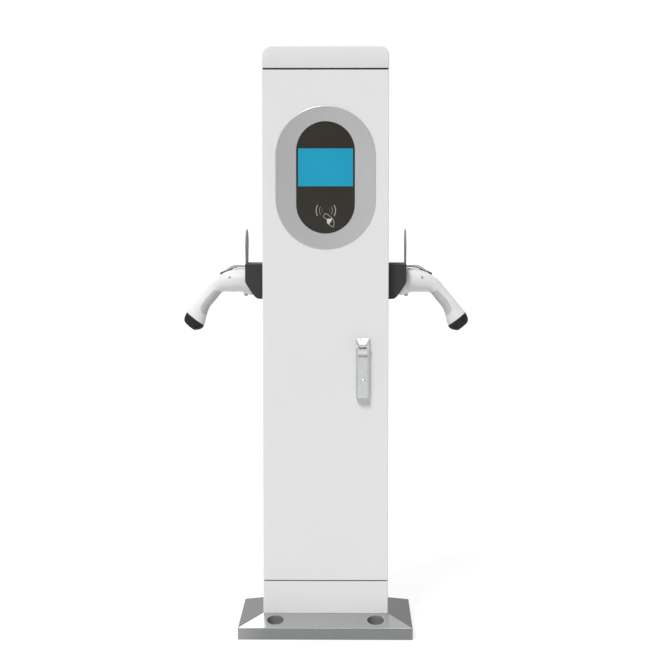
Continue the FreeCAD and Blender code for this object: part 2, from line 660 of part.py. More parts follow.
def make_handle_lever():
    """A hipped bar with a finger rest near its top, hinged on the hub's tongue and hollow behind."""
    back = -HALF_D - 4.8
    shoulder = back - 5
    half = HANDLE_HALF_W - 1.0
    top = LEVER_PIN_Z - 4.0
    foot = (half, HANDLE_BOTTOM + 1, top)
    crown = (half - 5, HANDLE_BOTTOM + 3, top)
    body = hipped_block(back, shoulder, LEVER_FRONT, foot, crown)
    rounded = edges_where(body, lambda p: p.y < shoulder + TOUCH)
    body = body.makeFillet(0.8, [e for e in rounded if e.CenterOfMass.z < top - 1])
    rest_r = 40.0
    rest = rod(rest_r, (HANDLE_X - 30, LEVER_FRONT + 0.8 - rest_r, top - 15), X_AXIS, 60)
    tongue_half = TONGUE_HALF_W + FIT_GAP
    ears = []
    for s in (-1, 1):
        x0 = HANDLE_X + min(s * tongue_half, s * half)
        x1 = HANDLE_X + max(s * tongue_half, s * half)
        ears.append(box(x0, x1, LEVER_PIN_Y - 3, LEVER_PIN_Y + 3, top - 2, LEVER_PIN_Z))
        ears.append(rod(3.0, (x0, LEVER_PIN_Y, LEVER_PIN_Z), X_AXIS, x1 - x0))
    room_half = half - 4
    rooms = [
        box(HANDLE_X - room_half, HANDLE_X + room_half, back - 7, back + 1, low, high)
        for low, high in ((HANDLE_BOTTOM + 12, KEY_Z - 14), (KEY_Z + 15, top - 10))
    ]
    left = HANDLE_X - tongue_half
    right = HANDLE_X + tongue_half
    relief = box(left, right, LEVER_FRONT - 20, back + 1, top - 1, LEVER_PIN_Z + 5)
    bore = rod(PIN_R + RUNNING_GAP, (HANDLE_X - 20, LEVER_PIN_Y, LEVER_PIN_Z), X_AXIS, 40)
    key = rod(KEY_R + RUNNING_GAP, (KEY_X, LEVER_FRONT - 1, KEY_Z), Y_AXIS, 30)
    return cut(join([body] + ears), rooms + [relief, bore, key, rest])


def make_lever_pin():
    half = HANDLE_HALF_W - 1.2
    return rod(PIN_R, (HANDLE_X - half, LEVER_PIN_Y, LEVER_PIN_Z), X_AXIS, 2 * half)


def make_key_plug():
    """A plug with a domed face, so that its slot is found by touch."""
    front = LEVER_FRONT + 0.3
    dome_h = 1.5
    dome_r = (KEY_R ** 2 + dome_h ** 2) / (2 * dome_h)
    plug = rod(KEY_R, (KEY_X, front - dome_h, KEY_Z), Y_AXIS, 15.5 + dome_h)
    dome = Part.makeSphere(dome_r, Vector(KEY_X, front - dome_h + dome_r, KEY_Z))
    behind = box(KEY_X - 10, KEY_X + 10, front, front + 20, KEY_Z - 10, KEY_Z + 10)
    keyway = box(KEY_X - 0.6, KEY_X + 0.6, front - 3, front + 5, KEY_Z - 2.8, KEY_Z + 2.8)
    return plug.common(dome.fuse(behind)).cut(keyway)


# ---- Holders and holster sockets, modelled on the +X side ---------------------------------
def guard_fin(x):
    """An upright leaf, widest part of the way up and round on top, that keeps the cable off the post."""
    shoulder = FIN_TOP - 37
    front_low = Vector(x, -36, HOLDER_TOP - 3)
    back_low = Vector(x, 36, HOLDER_TOP - 3)
    front_high = Vector(x, -HOLDER_HALF_D + 1, shoulder)
    back_high = Vector(x, HOLDER_HALF_D - 7, shoulder)
    edges = [
        Part.makeLine(back_low, front_low),
        Part.makeLine(front_low, front_high),
        Part.Arc(front_high, Vector(x, -4, FIN_TOP), back_high).toShape(),
        Part.makeLine(back_high, back_low),
    ]
    return Part.Face(Part.Wire(edges)).extrude(Vector(FIN_T, 0, 0))


def make_holder():
    wall = HALF_W
    reach = wall + HOLDER_REACH
    sheet = 2.5
    top = box(wall, reach, -HOLDER_HALF_D, HOLDER_HALF_D, HOLDER_TOP - 3, HOLDER_TOP)
    outline = [
        (wall, HOLDER_TOP), (reach, HOLDER_TOP), (reach, 905), (wall + 43.5, 898), (wall + 38, 889),
        (wall + 27, 872), (wall + 20, 864), (wall + 15, 860.8), (wall + 10, HOLDER_BOTTOM),
        (wall, HOLDER_BOTTOM),
    ]
    cheeks = [prism_xz(outline, -HOLDER_HALF_D, -HOLDER_HALF_D + sheet)]
    cheeks.append(prism_xz(outline, HOLDER_HALF_D - sheet, HOLDER_HALF_D))
    plate = box(wall, wall + sheet, -HOLDER_HALF_D, HOLDER_HALF_D, HOLDER_BOTTOM, HOLDER_TOP)
    opening = rod(36.3, (wall - 1, 0, GUN_Z), X_AXIS, 5)
    holes = [rod(2.6, (wall - 1, y, z), X_AXIS, 6) for y, z in holder_screw_places()]
    return cut(join([top, guard_fin(reach - FIN_T), plate] + cheeks), [opening] + holes)


def make_holster_socket():
    """A blind sleeve that keeps the connector's nose dry, with a round flange on the wall."""
    flange = rod(36.0, (HALF_W, 0, GUN_Z), X_AXIS, 4)
    sleeve = rod(SLEEVE_R, (HALF_W - 36, 0, GUN_Z), X_AXIS, 38)
    bore = rod(NOSE_R + 0.6, (HALF_W - 33, 0, GUN_Z), X_AXIS, 60)
    return cut(join([flange, sleeve]), [bore])


def make_holder_screws():
    screws = []
    for y, z in holder_screw_places():
        right = screw((HALF_W + 2.5, y, z), X_AXIS, 4.6, 3.2, 2.5, 10)
        screws.append(right)
        screws.append(turned(right))
    return group(screws)


# ---- Charging gun, modelled on the +X side ------------------------------------------------
# Sections along the body: outer edge (x, z), inner edge (x, z) and half thickness across it.
GUN_SECTIONS = (
    ((190.0, 935.0), (190.0, 868.8), 31.3),
    ((214.0, 936.8), (213.0, 873.2), 31.6),
    ((240.8, 934.2), (239.2, 874.8), 29.0),
    ((266.0, 925.2), (257.5, 875.6), 25.5),
    ((288.0, 908.7), (270.5, 872.6), 22.0),
    ((305.2, 889.2), (279.7, 862.3), 19.5),
    ((322.5, 868.5), (290.7, 848.8), 18.6),
    ((341.0, 846.4), (303.8, 831.0), 18.8),
    ((353.0, 831.5), (310.6, 808.5), 20.2),
    ((360.1, 822.5), (316.2, 788.7), 21.8),
)
CAP_SECTIONS = (
    ((360.1, 822.5), (316.2, 788.7), 21.8),
    ((367.6, 806.0), (325.0, 778.6), 20.8),
    ((366.0, 796.0), (341.0, 775.4), 14.5),
)
OVAL_POINTS = 16
GRIP_REGION = (
    (287.0, 881.2), (266.0, 871.0), (272.0, 845.0), (296.0, 812.0), (309.3, 815.8),
    (317.8, 818.1), (324.0, 829.3), (322.6, 838.9), (310.3, 858.6),
)


def oval(outer, inner, half_y, grow):
    """A closed oval through evenly spaced points, always started at its outer edge."""
    outer = Vector(outer[0], 0, outer[1])
    inner = Vector(inner[0], 0, inner[1])
    across = (outer - inner).normalize()
    half_u = (outer - inner).Length / 2 + grow
    centre = (outer + inner) / 2
    half_v = half_y + grow
    angles = [2 * math.pi * i / OVAL_POINTS for i in range(OVAL_POINTS)]
    points = [centre + across * (half_u * math.cos(a)) + Y_AXIS * (half_v * math.sin(a)) for a in angles]
    curve = Part.BSplineCurve()
    curve.interpolate(Points=points, PeriodicFlag=True)
    return Part.Wire(curve.toShape())


def lofted(sections, grow):
    ovals = [oval(outer, inner, half_y, grow) for outer, inner, half_y in sections]
    return Part.makeLoft(ovals, True, False)


def latch_pocket(side_gap):
    outline = [(291, 934), (291, 908), (268, 917), (257, 905), (242, 905), (234, 945)]
    half = LATCH_HALF_W + side_gap
    return prism_xz(outline, -half, half)


def grip_solid():
    region = prism_xz(GRIP_REGION, -40, 40)
    band = lofted(GUN_SECTIONS, 0.4).cut(lofted(GUN_SECTIONS, -1.2))
    return band.common(region)


def gun_shell():
    body = lofted(GUN_SECTIONS, 0)
    boss = Part.makeCone(4.2, 7.4, 9, Vector(TRIGGER_X, 0, 865.4), Z_AXIS)
    room = lofted(GUN_SECTIONS, -GUN_WALL)
    pin = rod(LATCH_PIN_R, (LATCH_X, -60, LATCH_Z), Y_AXIS, 120)
    return join([body, boss]).cut([room, latch_pocket(0.8), pin, grip_solid()])


def half_of(shape, side):
    """One moulded half of the gun's body. A fine parting line is left between the two."""
    near = SEAM / 2 * side
    far = 60 * side
    return shape.common(box(120, 400, min(near, far), max(near, far), 700, 1000))


def contact_places():
    """A round connector face: five power contacts below and two signal contacts above."""
    ring_r = 9.6
    places = [(0.0, 0.0, 3.0)]
    for turn in (0, 180, 235, 305):
        angle = math.radians(turn)
        places.append((ring_r * math.cos(angle), ring_r * math.sin(angle), 3.0))
    places += [(s * 5.2, ring_r, 1.6) for s in (-1, 1)]
    return places


def make_gun_nose():
    tube = rod(NOSE_R, (140, 0, GUN_Z), X_AXIS, 50)
    flange = rod(31.0, (185, 0, GUN_Z), X_AXIS, 5)
    spigot = rod(28.0, (190, 0, GUN_Z), X_AXIS, 10)
    face = rod(NOSE_R - 3.0, (139, 0, GUN_Z), X_AXIS, 31)
    insulator = rod(NOSE_R - 5.0, (143, 0, GUN_Z), X_AXIS, 30)
    holes = [rod(r, (139, y, GUN_Z + z), X_AXIS, 31) for y, z, r in contact_places()]
    shell = join([tube, flange, spigot]).cut(face)
    return cut(join([shell, insulator]), holes)


def make_gun_contacts():
    return group(rod(r, (148, y, GUN_Z + z), X_AXIS, 22) for y, z, r in contact_places())


def make_latch_lever():
    """A sprung lever: its thumb end is outside, its hook end reaches over the nose inside the holder."""
    outer_edge = [
        (274.4, 922.4), (273.6, 924.8), (268.0, 927.4), (262.0, 930.4), (253.0, 936.8), (245.0, 942.0),
        (236.0, 944.8), (222.0, 944.8), (208.9, 943.6), (186.0, 941.1), (172.0, 940.0),
    ]
    inner_edge = [
        (172.0, 931.0), (176.0, 931.0), (178.0, 937.2), (208.9, 939.2), (224.0, 939.0), (236.0, 937.2),
        (242.5, 934.0), (LATCH_X - 3.9, LATCH_Z), (LATCH_X + 3.9, LATCH_Z), (253.5, 927.0),
        (263.0, 922.4), (268.5, 920.6), (273.0, 920.2),
    ]
    blade = prism_xz(outer_edge + inner_edge, -LATCH_HALF_W, LATCH_HALF_W)
    eye = rod(LATCH_PIN_R + 2, (LATCH_X, -LATCH_HALF_W, LATCH_Z), Y_AXIS, 2 * LATCH_HALF_W)
    bore = rod(LATCH_PIN_R + RUNNING_GAP, (LATCH_X, -9, LATCH_Z), Y_AXIS, 18)
    return cut(join([blade, eye]), [bore])


def make_latch_pin():
    half = 25.8
    return rod(LATCH_PIN_R, (LATCH_X, -half, LATCH_Z), Y_AXIS, 2 * half)


def cap_screw_places():
    return [(360.0, 806.0), (334.5, 785.5)]


def make_end_cap():
    body = lofted(CAP_SECTIONS, 0)
    wells = []
    for x, z in cap_screw_places():
        for s in (-1, 1):
            wells.append(rod(3.4, (x, s * 30, z), -s * Y_AXIS, 20.0))
            wells.append(rod(1.5, (x, s * 30, z), -s * Y_AXIS, 27.0))
    return body.cut(wells)


def make_gun_screws():
    screws = []
    for x, z in cap_screw_places():
        for s in (-1, 1):
            screws.append(screw((x, s * 10.0, z), s * Y_AXIS, 3.3, 2.2, 1.5, 6.5))
    return group(screws)


# ---- Write every piece --------------------------------------------------------------------
def all_pieces():
    pieces = {
        "anchor_plate": make_anchor_plate(),
        "base_cover": make_base_cover(),
        "column_shell": make_column_shell(),
        "skirt_panel": make_skirt_panel(),
        "cap_gasket": make_cap_gasket(),
        "top_cap": make_top_cap(),
        "door_frame": make_door_frame(),
        "hinge_frame_leaves": make_hinge_frame_leaves(),
        "hinge_pins": make_hinge_pins(),
        "rod_keepers": make_rod_keepers(),
        "mounting_plate": make_mounting_plate(),
        "din_rails": make_din_rails(),
        "main_breaker": make_main_breaker(),
        "breaker_toggle": make_breaker_toggle(),
        "contactors": make_contactors(),
        "energy_meters": make_energy_meters(),
        "terminal_block": make_terminal_block(),
        "control_board": make_control_board(),
        "holder_screws": make_holder_screws(),
        "door_skin": make_door_skin(),
        "door_seal": make_door_seal(),
        "hinge_door_leaves": make_hinge_door_leaves(),
        "lock_case": make_lock_case(),
        "rod_guides": make_rod_guides(),
        "escutcheon": make_escutcheon(),
        "bezel_ring": make_bezel_ring(),
        "panel_glass": make_panel_glass(),
        "lcd_module": make_lcd_module(),
        "card_reader": make_card_reader(),
        "display_housing": make_display_housing(),
        "housing_screws": make_housing_screws(),
        "handle_hub": make_handle_hub(),
        "handle_spindle": make_handle_spindle(),
        "handle_lever": make_handle_lever(),
        "lever_pin": make_lever_pin(),
        "key_plug": make_key_plug(),
        "rod_upper": make_rod(1),
        "rod_lower": make_rod(-1),
    }
    shell = gun_shell()
    right_side = {
        "holder": make_holder(),
        "socket": make_holster_socket(),
        "gun_front_shell": half_of(shell, -1),
        "gun_rear_shell": half_of(shell, 1),
        "gun_nose": make_gun_nose(),
        "gun_contacts": make_gun_contacts(),
        "gun_latch": make_latch_lever(),
        "gun_latch_pin": make_latch_pin(),
        "gun_grip": grip_solid(),
        "gun_end_cap": make_end_cap(),
        "gun_cap_screws": make_gun_screws(),
    }
    for name, shape in right_side.items():
        pieces[name + "_right"] = shape
        pieces[name + "_left"] = turned(shape)
    return pieces


os.makedirs("parts", exist_ok=True)
for name, shape in all_pieces().items():
    shape.exportStep("parts/" + name + ".step")
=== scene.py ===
import json
import math

import bpy
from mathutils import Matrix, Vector


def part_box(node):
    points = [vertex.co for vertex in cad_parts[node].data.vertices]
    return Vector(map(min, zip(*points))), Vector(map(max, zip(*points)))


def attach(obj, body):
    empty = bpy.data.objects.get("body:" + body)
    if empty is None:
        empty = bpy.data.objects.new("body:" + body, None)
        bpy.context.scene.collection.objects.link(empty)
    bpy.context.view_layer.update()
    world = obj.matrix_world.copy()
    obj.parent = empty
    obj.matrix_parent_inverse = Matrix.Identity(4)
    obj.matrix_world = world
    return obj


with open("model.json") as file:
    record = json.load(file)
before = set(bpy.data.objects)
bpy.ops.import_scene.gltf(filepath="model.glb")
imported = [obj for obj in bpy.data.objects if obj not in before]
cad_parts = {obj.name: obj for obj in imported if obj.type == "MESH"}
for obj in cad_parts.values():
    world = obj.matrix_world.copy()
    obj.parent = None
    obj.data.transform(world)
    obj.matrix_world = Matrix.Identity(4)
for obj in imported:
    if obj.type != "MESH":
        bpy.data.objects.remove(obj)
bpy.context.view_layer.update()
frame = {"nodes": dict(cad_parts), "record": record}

MM = 0.001
NODES = frame["nodes"]

# Places on the part, in metres, where one CAD node shows more than one finish, painted shade or painted
# highlight.
# BOLT_X and BOLT_Y are distances from the two middle planes. A centre or a well is a pair (x, z).
BOLT_X = 0.128
BOLT_Y = 0.122
ACCESS_HOLE_R = 0.0213
BASE_END_X = -0.222
BASE_HIGHLIGHT_FADE_X = -0.150
HOLDER_TOP = 0.9495
BOSS_TIP_Z = 0.8682
BOSS_OUTER_X = 0.225
KEY_CENTRE = (0.0955, 0.6543)
KEY_PLUG_R = 0.005
CAP_WELLS = ((0.360, 0.806), (0.3345, 0.7855))
CAP_WELL_R = 0.0036
LATCH_EDGE_START_X = 0.236
LATCH_EDGE_FALL = -0.43
LATCH_EDGE_Z = 0.9396
LATCH_EDGE_TOP = 0.9404
LATCH_THUMB_X = 0.2625

# The devices behind the door: the parts on the control board, and the window and button on the nose
# of an energy meter.
PLUGS_Z = (0.837, 0.857)
RELAYS_X = (0.019, 0.103)
RELAYS_Z = (0.707, 0.739)
SHIELD_X = (0.029, 0.091)
SHIELD_Z = (0.769, 0.813)
CHIPS_DEPTH = 25.8 * MM
METER_W = 54 * MM
METER_WINDOW_HALF = 17 * MM
METER_WINDOW_DOWN = 2 * MM
METER_WINDOW_UP = 12 * MM
METER_BUTTON_DOWN = 11 * MM
METER_BUTTON_R = 3 * MM
FACE_DEPTH = 0.3 * MM

# Roughness and specular levels that a mask switches, and the usual scale of a moulding's grain.
KEY_POLISH = 0.08
HOLDER_SPECULAR = 0.3
CAP_SPECULAR = 0.18
MOULD_GRAIN = 1400.0

# The middle of the contactless sign, as a pair (x, z).
ICON_MIDDLE = (0.0008, 1.0858)

# Light strengths, and places and sizes in metres. The key's angle is its apparent size in degrees.
WORLD_FRONT_LOW = 0.22
WORLD_FRONT_HIGH = 0.32
WORLD_BACK_LOW = 0.39
WORLD_BACK_HIGH = 0.98
WORLD_OVERHEAD = 1.7
WORLD_TO_CAMERA = 1.05
FLOOR_HALF = 60.0
FLOOR_DROP = 0.0005
FLOOR_GLOW = 0.76
KEY_PLACE = (-1.1, -2.4, 3.0)
KEY_POWER = 2.9
KEY_ANGLE = 18
PANEL_PLACE = (-0.95, 1.9, 2.35)
PANEL_TARGET = (-0.19, -0.12, 0.04)
PANEL_SIZE = (1.5, 1.3)
PANEL_POWER = 14.0

# The camera's place in metres, its turns in degrees and its lens in millimetres.
CAMERA_PLACE = (0.062, -4.467, 1.126)
CAMERA_PITCH = 4.48
CAMERA_YAW = 0.68
CAMERA_LENS = 94.25

# The radius that rounds each of these parts' sharp edges, in metres.
EDGE_RADII = (
    ("base_cover", 0.0014),
    ("anchor_plate", 0.0008),
    ("handle_hub", 0.0005),
    ("escutcheon", 0.0005),
    ("holder_left", 0.0006),
    ("holder_right", 0.0006),
)
CAP_EDGE_RADIUS = 0.0006


# ---- Shader building blocks -----------------------------------------------------------------
RANGE_SOCKETS = ("From Min", "From Max", "To Min", "To Max")
CLOUD_SPAN = (0.3, 0.7)


class Surface:
    """A Principled material with short calls for the detail that real surfaces share."""

    def __init__(self, name, colour, roughness, metallic=0.0):
        self.material = bpy.data.materials.new(name)
        self.material.use_nodes = True
        self.tree = self.material.node_tree
        self.bsdf = self.tree.nodes["Principled BSDF"]
        self.bsdf.inputs["Base Color"].default_value = (*colour, 1.0)
        self.bsdf.inputs["Roughness"].default_value = roughness
        self.bsdf.inputs["Metallic"].default_value = metallic
        self.colour = colour
        self.place = self.node("ShaderNodeTexCoord").outputs["Object"]
        self.normal = None

    def node(self, kind, **values):
        made = self.tree.nodes.new(kind)
        for key, value in values.items():
            setattr(made, key, value)
        return made

    def link(self, out, into):
        self.tree.links.new(out, into)

    def drive(self, name, out):
        """Gives one of the shader's own inputs a value that varies over the surface."""
        self.link(out, self.bsdf.inputs[name])

    def stretched(self, scale):
        mapping = self.node("ShaderNodeMapping")
        mapping.inputs["Scale"].default_value = scale
        self.link(self.place, mapping.inputs["Vector"])
        return mapping.outputs["Vector"]

    def noise(self, scale, detail=3.0, roughness=0.5, stretch=None):
        made = self.node("ShaderNodeTexNoise")
        made.inputs["Scale"].default_value = scale
        made.inputs["Detail"].default_value = detail
        made.inputs["Roughness"].default_value = roughness
        self.link(self.stretched(stretch) if stretch else self.place, made.inputs["Vector"])
        return made.outputs["Fac"]

    def split(self, vector, axis):
        made = self.node("ShaderNodeSeparateXYZ")
        self.link(vector, made.inputs["Vector"])
        return made.outputs[axis]

    def ramp(self, value, span, result=(0.0, 1.0)):
        """The value's span, stretched to the result and held at its ends."""
        made = self.node("ShaderNodeMapRange")
        for key, number in zip(RANGE_SOCKETS, (*span, *result)):
            made.inputs[key].default_value = number
        self.link(value, made.inputs["Value"])
        return made.outputs["Result"]

    def mix(self, factor, first, second):
        made = self.node("ShaderNodeMix", data_type="RGBA")
        self.link(factor, made.inputs[0])
        for socket, value in ((made.inputs[6], first), (made.inputs[7], second)):
            if isinstance(value, tuple):
                socket.default_value = (*value, 1.0)
            else:
                self.link(value, socket)
        return made.outputs[2]

    def paint(self, colour_out):
        self.drive("Base Color", colour_out)
        return self

    def math(self, operation, first, second=0.0):
        made = self.node("ShaderNodeMath", operation=operation)
        for socket, value in zip(made.inputs, (first, second)):
            if isinstance(value, float):
                socket.default_value = value
            else:
                self.link(value, socket)
        return made.outputs["Value"]

    def overlay(self, mask, colour):
        """Another colour over the one painted so far, where the mask is 1."""
        links = self.bsdf.inputs["Base Color"].links
        below = links[0].from_socket if links else self.colour
        return self.paint(self.mix(mask, below, colour))

    def across(self):
        """Distance from the post's middle plane, the same on the left and right side."""
        return self.math("ABSOLUTE", self.sideways())

    def sideways(self):
        return self.split(self.place, "X")

    def height(self):
        return self.split(self.place, "Z")

    def outside(self, mask):
        """1 where the mask is 0, and 0 where it is 1."""
        return self.math("SUBTRACT", 1.0, mask)

    def near(self, u, v, centre, radius):
        """1 within a radius of a centre in the plane of the two coordinates u and v, 0 elsewhere."""
        off_u = self.math("SUBTRACT", u, centre[0])
        off_v = self.math("SUBTRACT", v, centre[1])
        squared_u = self.math("MULTIPLY", off_u, off_u)
        squared_v = self.math("MULTIPLY", off_v, off_v)
        squared = self.math("ADD", squared_u, squared_v)
        return self.math("LESS_THAN", squared, radius ** 2)

    def within(self, axis, low, high):
        """1 where the coordinate lies between two values, 0 elsewhere."""
        value = self.split(self.place, axis)
        above = self.math("GREATER_THAN", value, low)
        below = self.math("LESS_THAN", value, high)
        return self.math("MULTIPLY", above, below)

    def block(self, **spans):
        """1 inside a box given by its spans along some of the axes X, Y and Z."""
        mask = None
        for axis, (low, high) in spans.items():
            part = self.within(axis, low, high)
            mask = part if mask is None else self.math("MULTIPLY", mask, part)
        return mask

    def vary_colour(self, scale, amount, detail=3.0, stretch=None):
        """Soft light and dark clouds around the base colour."""
        dark = tuple(c * (1 - amount) for c in self.colour)
        light = tuple(min(1.0, c * (1 + amount)) for c in self.colour)
        clouds = self.noise(scale, detail, 0.55, stretch)
        return self.paint(self.mix(self.ramp(clouds, CLOUD_SPAN), dark, light))

    def vary_roughness(self, scale, low, high, detail=3.0, stretch=None):
        clouds = self.noise(scale, detail, 0.55, stretch)
        self.drive("Roughness", self.ramp(clouds, CLOUD_SPAN, (low, high)))
        return self

    def bump(self, height, strength, distance):
        made = self.node("ShaderNodeBump")
        made.inputs["Strength"].default_value = strength
        made.inputs["Distance"].default_value = distance
        self.link(height, made.inputs["Height"])
        if self.normal is not None:
            self.link(self.normal, made.inputs["Normal"])
        self.normal = made.outputs["Normal"]
        self.drive("Normal", self.normal)
        return self

    def grain(self, scale, strength, distance, detail=2.0, stretch=None):
        return self.bump(self.noise(scale, detail, 0.6, stretch), strength, distance)

    def set(self, **values):
        """Plain values on the shader's own inputs, with an underscore for each space in their names."""
        for key, value in values.items():
            self.bsdf.inputs[key.replace("_", " ")].default_value = value
        return self


# ---- Materials ------------------------------------------------------------------------------
def powder_surface(name, colour, roughness, peel):
    """Cured powder: fine orange peel, a finer grain on top and a soft sheen that varies a little."""
    surface = Surface(name, colour, roughness)
    surface.vary_colour(scale=2.2, amount=0.015)
    surface.vary_roughness(scale=9.0, low=roughness * 0.9, high=roughness * 1.12)
    surface.grain(scale=900.0, strength=peel, distance=0.00025)
    return surface.grain(scale=5200.0, strength=peel * 0.5, distance=0.00006)


def powder_coat(name, colour, roughness):
    return powder_surface(name, colour, roughness, peel=0.25).set(Specular_IOR_Level=0.45).material


def handle_metal(name):
    """Brushed chrome with fine upright scratches. The domed key plug is polished instead."""
    upright = (500, 500, 40)
    surface = Surface(name, colour=(0.66, 0.672, 0.682), roughness=0.30, metallic=1.0)
    surface.vary_colour(scale=1.0, amount=0.10, detail=4.0, stretch=upright)
    surface.vary_roughness(scale=1.0, low=0.225, high=0.39, detail=4.0, stretch=upright)
    surface.grain(scale=1.0, strength=0.05, distance=0.00005, detail=3.0, stretch=upright)
    on_key = surface.near(surface.sideways(), surface.height(), KEY_CENTRE, KEY_PLUG_R)
    brushed = surface.bsdf.inputs["Roughness"].links[0].from_socket
    off_key = surface.math("MULTIPLY", surface.outside(on_key), brushed)
    surface.drive("Roughness", surface.math("MAXIMUM", off_key, KEY_POLISH))
    return surface.material


def base_sheet(name):
    """Stainless sheet: fine grinding on the slopes, brushing along the upright rim. The rim is painted
    darker than the slopes, painted shade, and lighter towards its left end, a painted highlight.
    """
    surface = Surface(name, colour=(0.47, 0.475, 0.485), roughness=0.17, metallic=1.0)
    # Painted shade: the upright rim is painted darker than the upward-facing slopes, by the way a face
    # points.
    upward = surface.split(surface.node("ShaderNodeNewGeometry").outputs["Normal"], "Z")
    on_slope = surface.ramp(upward, span=(0.1, 0.5))
    streaks = surface.noise(scale=1.0, detail=4.0, roughness=0.6, stretch=(9, 1500, 1500))
    brushed = surface.mix(streaks, (0.215, 0.222, 0.220), (0.262, 0.268, 0.266))
    # Painted highlight: the rim grows lighter towards its left end.
    painted_highlight_end = surface.ramp(surface.sideways(), span=(BASE_END_X, BASE_HIGHLIGHT_FADE_X), result=(1.0, 0.0))
    rim = surface.mix(painted_highlight_end, brushed, (0.335, 0.340, 0.338))
    fine = surface.noise(scale=1.0, detail=3.0, roughness=0.6, stretch=(60, 1200, 1200))
    slope = surface.mix(fine, (0.425, 0.43, 0.441), (0.485, 0.49, 0.50))
    surface.paint(surface.mix(on_slope, rim, slope))
    rim_roughness = surface.ramp(streaks, span=(0.3, 0.7), result=(0.24, 0.36))
    smoother_slope = surface.ramp(on_slope, span=(0.0, 1.0), result=(0.0, 0.13))
    surface.drive("Roughness", surface.math("SUBTRACT", rim_roughness, smoother_slope))
    surface.bump(streaks, strength=0.05, distance=0.00004)
    # The sleeves inside the access holes are pale moulded plastic.
    along = surface.math("ABSOLUTE", surface.split(surface.place, "Y"))
    in_hole = surface.near(surface.across(), along, (BOLT_X, BOLT_Y), ACCESS_HOLE_R + 0.1 * MM)
    surface.overlay(in_hole, (0.17, 0.17, 0.173))
    surface.drive("Metallic", surface.outside(in_hole))
    return surface.material


def zinc_plate(name):
    surface = Surface(name, colour=(0.42, 0.43, 0.44), roughness=0.36, metallic=1.0)
    surface.vary_colour(scale=60.0, amount=0.16, detail=4.0)
    surface.vary_roughness(scale=45.0, low=0.26, high=0.5)
    surface.grain(scale=700.0, strength=0.08, distance=0.00008)
    return surface.material


def satin_ring(name):
    """Silver lacquer over cast metal, with a fine sparkle, and a painted reflection that makes it slowly
    lighter towards the upper right.
    """
    surface = Surface(name, colour=(0.50, 0.50, 0.51), roughness=0.34, metallic=0.85)
    # Painted reflection: the tone grows lighter along a slant towards the upper right.
    half_height = surface.math("MULTIPLY", surface.height(), 0.5)
    slant = surface.math("ADD", surface.sideways(), half_height)
    painted_light_sweep = surface.ramp(slant, span=(0.46, 0.70))
    surface.paint(surface.mix(painted_light_sweep, (0.52, 0.52, 0.527), (0.62, 0.62, 0.63)))
    surface.vary_roughness(scale=420.0, low=0.28, high=0.42)
    surface.grain(scale=1600.0, strength=0.12, distance=0.00008)
    return surface.set(Coat_Weight=0.25, Coat_Roughness=0.2).material


def gloss_panel(name):
    surface = Surface(name, colour=(0.026, 0.0235, 0.019), roughness=0.16)
    surface.vary_roughness(scale=14.0, low=0.14, high=0.24)
    surface.vary_colour(scale=6.0, amount=0.05)
    surface.grain(scale=60.0, strength=0.02, distance=0.0002)
    return surface.set(Specular_IOR_Level=0.22).material


def plastic_surface(name, colour, roughness, texture, scale=MOULD_GRAIN):
    """Moulded plastic with an even, fine grain. Texture is the grain's strength."""
    surface = Surface(name, colour, roughness)
    surface.vary_colour(scale=12.0, amount=0.02)
    surface.vary_roughness(scale=35.0, low=roughness * 0.88, high=roughness * 1.15)
    return surface.grain(scale, strength=texture, distance=0.00012)


def moulded_plastic(name, colour, roughness, texture=0.12, scale=MOULD_GRAIN):
    return plastic_surface(name, colour, roughness, texture, scale).material


def holder_coat(name):
    """Dark grey textured powder. The fin is paler. The bracket's top face is paler too, painted light
    from above, and dull.
    """
    surface = powder_surface(name, colour=(0.026, 0.026, 0.0265), roughness=0.5, peel=0.5)
    # Painted light: the bracket's top face is paler where the light from above falls on it.
    on_top = surface.math("GREATER_THAN", surface.height(), HOLDER_TOP - 0.6 * MM)
    surface.overlay(on_top, (0.13, 0.13, 0.132))
    on_fin = surface.math("GREATER_THAN", surface.height(), HOLDER_TOP + 0.3 * MM)
    surface.overlay(on_fin, (0.185, 0.185, 0.187))
    on_top_face = surface.math("SUBTRACT", on_top, on_fin)
    shine = surface.math("MULTIPLY", surface.outside(on_top_face), HOLDER_SPECULAR)
    surface.drive("Specular IOR Level", shine)
    return surface.material


def gun_shell(name):
    """Smooth white moulding. The tip of the small boss under the head is dark."""
    surface = plastic_surface(name, (0.59, 0.59, 0.59), roughness=0.42, texture=0.03)
    low_enough = surface.math("LESS_THAN", surface.height(), BOSS_TIP_Z)
    beside = surface.math("LESS_THAN", surface.across(), BOSS_OUTER_X)
    surface.overlay(surface.math("MULTIPLY", low_enough, beside), (0.06, 0.06, 0.06))
    return surface.set(Specular_IOR_Level=0.22).material


def cap_plastic(name):
    """Black moulding with a fine texture. The end cap's screw wells are dull inside and painted darker,
    painted shade in the recesses.
    """
    surface = plastic_surface(name, (0.016, 0.0147, 0.0125), roughness=0.5, texture=0.25, scale=1100.0)
    wells = [surface.near(surface.across(), surface.height(), place, CAP_WELL_R) for place in CAP_WELLS]
    # Painted shade: the screw wells are darker inside.
    well_shade = surface.math("MAXIMUM", wells[0], wells[1])
    surface.overlay(well_shade, (0.003, 0.003, 0.003))
    shine = surface.math("MULTIPLY", surface.outside(well_shade), CAP_SPECULAR)
    surface.drive("Specular IOR Level", shine)
    return surface.material


